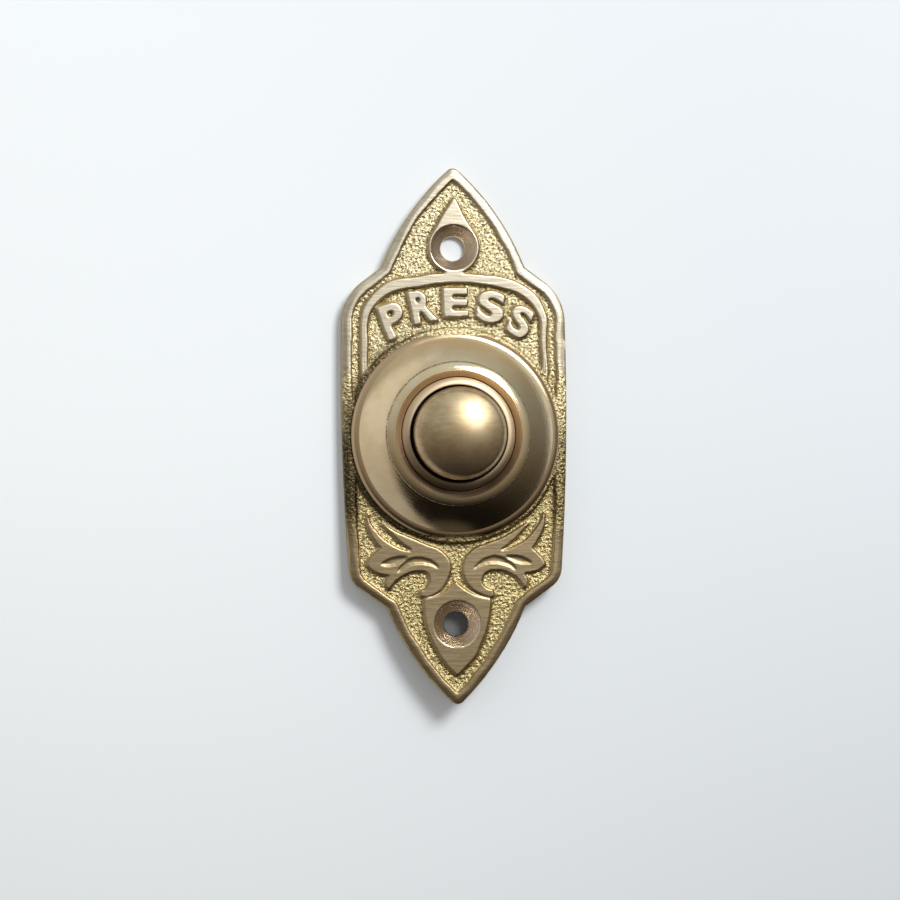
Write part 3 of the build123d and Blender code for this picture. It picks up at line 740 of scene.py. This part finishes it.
def within(paint, limits):
    """1 where an opening keeps to all its limits, and 0 elsewhere."""
    across, up = paint.math("ABSOLUTE", paint.place.part("X")), paint.place.part("Z")
    inside = 1.0
    for sideways, upward, limit in limits:
        inside = inside * paint.math("LESS_THAN", sideways * across + upward * up, limit)
    return inside


def wall_paint():
    """Pale paint shaded across as painted light, with a faint glow of painted light and a painted shadow
    behind the lower hole, open behind the plate and seen only from the front.
    """
    paint = Finish("wall_paint", Roughness=0.8, Emission_Strength=WALL_GLOW)
    # Painted light and shade: the paint is paler on the left and darker on the right.
    slant = paint.place.part("X") + 0.25 * paint.place.part("Z")
    shade = slant.between(105, -105).mix(WALL_SHADED, WALL_LIT)
    # Painted shadow: a dark disc on the wall behind the lower screw hole.
    shade = paint.distance(0, 0, SCREW_HEIGHTS[1] / MM).between(*WALL_HOLE_SHADOW_EDGE).mix(shade, WALL_HOLE_SHADOW)
    paint.set("Base Color", shade)
    paint.set("Emission Color", shade)
    front = Wire(paint.tree, paint.shader.outputs[0])
    clear = paint.node("ShaderNodeBsdfTransparent", {})
    behind = paint.node("ShaderNodeNewGeometry", {}, out="Backfacing")
    opening = paint.math("MAXIMUM", within(paint, BODY_OPENING), within(paint, SPIRE_OPENING))
    opening = opening * paint.math("GREATER_THAN", paint.distance(0, 0, SCREW_HEIGHTS[0] / MM), SCREW_PATCH)
    unseen = paint.math("MAXIMUM", behind, opening)
    shown = paint.node("ShaderNodeMixShader", {0: unseen, 1: front, 2: clear})
    paint.tree.links.new(shown.socket, paint.tree.nodes["Material Output"].inputs["Surface"])
    return paint.material


def wall():
    """The wall behind the plate, which falls away a little below."""
    mesh = bpy.data.meshes.new("wall")
    bm = bmesh.new()
    rows = []
    for height in [WALL_REACH] + [WALL_BEND_FROM - row * WALL_ROW for row in range(WALL_ROWS)]:
        below = max(0.0, WALL_BEND_FROM - height)
        behind = WALL_GAP + WALL_BEND * below ** 2
        rows.append([bm.verts.new((side, behind, height)) for side in (-WALL_REACH, WALL_REACH)])
    behind += 2 * WALL_BEND * below * (height + WALL_REACH)
    rows.append([bm.verts.new((side, behind, -WALL_REACH)) for side in (-WALL_REACH, WALL_REACH)])
    for painted_top_light, lower in zip(rows, rows[1:]):
        bm.faces.new((painted_top_light[0], lower[0], lower[1], painted_top_light[1]))
    bm.to_mesh(mesh)
    bm.free()
    mesh.shade_smooth()
    made = bpy.data.objects.new("wall", mesh)
    bpy.context.scene.collection.objects.link(made)
    mesh.materials.append(wall_paint())


def lamp(name, direction, distance, width, height, strength, tint):
    """A soft panel that faces the button, by its direction from there."""
    data = bpy.data.lights.new(name, "AREA")
    data.shape = "RECTANGLE"
    data.size = width
    data.size_y = height
    data.energy = strength
    data.color = tint
    made = bpy.data.objects.new(name, data)
    towards = Vector(direction).normalized()
    made.location = towards * distance
    made.rotation_mode = "QUATERNION"
    made.rotation_quaternion = towards.to_track_quat("Z", "Y")
    bpy.context.scene.collection.objects.link(made)


def studio():
    """A soft lamp above on the right, a tall window on the left, and a room that is dark below."""
    lamp("key_panel", (0.36, -0.81, 0.46), 0.75, 0.25, 0.23, 4.4, (0.99, 1.0, 1.0))
    world = bpy.data.worlds.new("room")
    bpy.context.scene.world = world
    world.use_nodes = True
    room = Wire(world.node_tree)
    towards = room.node("ShaderNodeTexCoord", {}, out="Generated")
    right, ahead, up = towards.part("X"), 0.0 - towards.part("Y"), towards.part("Z")
    lit = (0.01 + 0.56 * (up + 0.06 * right).between(-0.85, 0.7)) * (0.8 + 0.5 * ahead.between(0.3, 0.85))
    lit = lit * (1 + 0.3 * up.between(0.5, 0.95))
    lit = lit * (1 - 0.35 * right.between(0.5, 1.0))
    slant = up.math("MAXIMUM", up - 0.7 * ahead, 0.0)
    window = (0.5 * slant - right - 1.22 * ahead).between(0.0, 0.04) * (3.1 * ahead - up).between(-0.1, 0.2)
    lit = lit * (1 - window) + (0.45 + 0.4 * up.between(-1.0, 0.6)) * window
    lit = lit + 0.07 * up.between(-0.94, -0.975)
    behind = 0.5 * ahead.between(0.0, -0.4)
    tint = up.between(-0.4, 0.5).mix(colour(1.0, 0.86, 0.70), colour(0.94, 1.0, 1.0))
    tint = (ahead.between(0.35, 0.05) * up.between(0.2, 0.6)).mix(tint, colour(1.0, 0.88, 0.70))
    tint = window.mix(tint, colour(1.0, 0.97, 0.93))
    light = world.node_tree.nodes["Background"]
    world.node_tree.links.new(tint.socket, light.inputs["Color"])
    world.node_tree.links.new((lit + behind).socket, light.inputs["Strength"])


def camera():
    """The camera, shifted so that the button's axis falls on its pixel."""
    data = bpy.data.cameras.new("camera")
    made = bpy.data.objects.new("camera", data)
    bpy.context.scene.collection.objects.link(made)
    bpy.context.scene.camera = made
    back = Vector((-math.sin(CAMERA_LEFT) * math.cos(CAMERA_BELOW),
                   -math.cos(CAMERA_LEFT) * math.cos(CAMERA_BELOW), -math.sin(CAMERA_BELOW)))
    made.rotation_mode = "QUATERNION"
    made.location = Vector((0, -RELIEF_DEPTH, 0)) + back * CAMERA_DISTANCE
    made.rotation_quaternion = ((-back).to_track_quat("-Z", "Y")
                                @ Matrix.Rotation(CAMERA_ROLL, 3, "Z").to_quaternion())
    data.sensor_width = SENSOR_WIDTH
    data.lens = SENSOR_WIDTH * CAMERA_DISTANCE / (PICTURE / PIXELS_PER_MM * MM)
    data.shift_x = (PICTURE / 2 - PLATE_AXIS_PIXEL[0]) / PICTURE
    data.shift_y = (PLATE_AXIS_PIXEL[1] - PICTURE / 2) / PICTURE
    data.clip_start = 0.01


wall()
studio()
camera()
bpy.context.scene.view_settings.view_transform = "Standard"
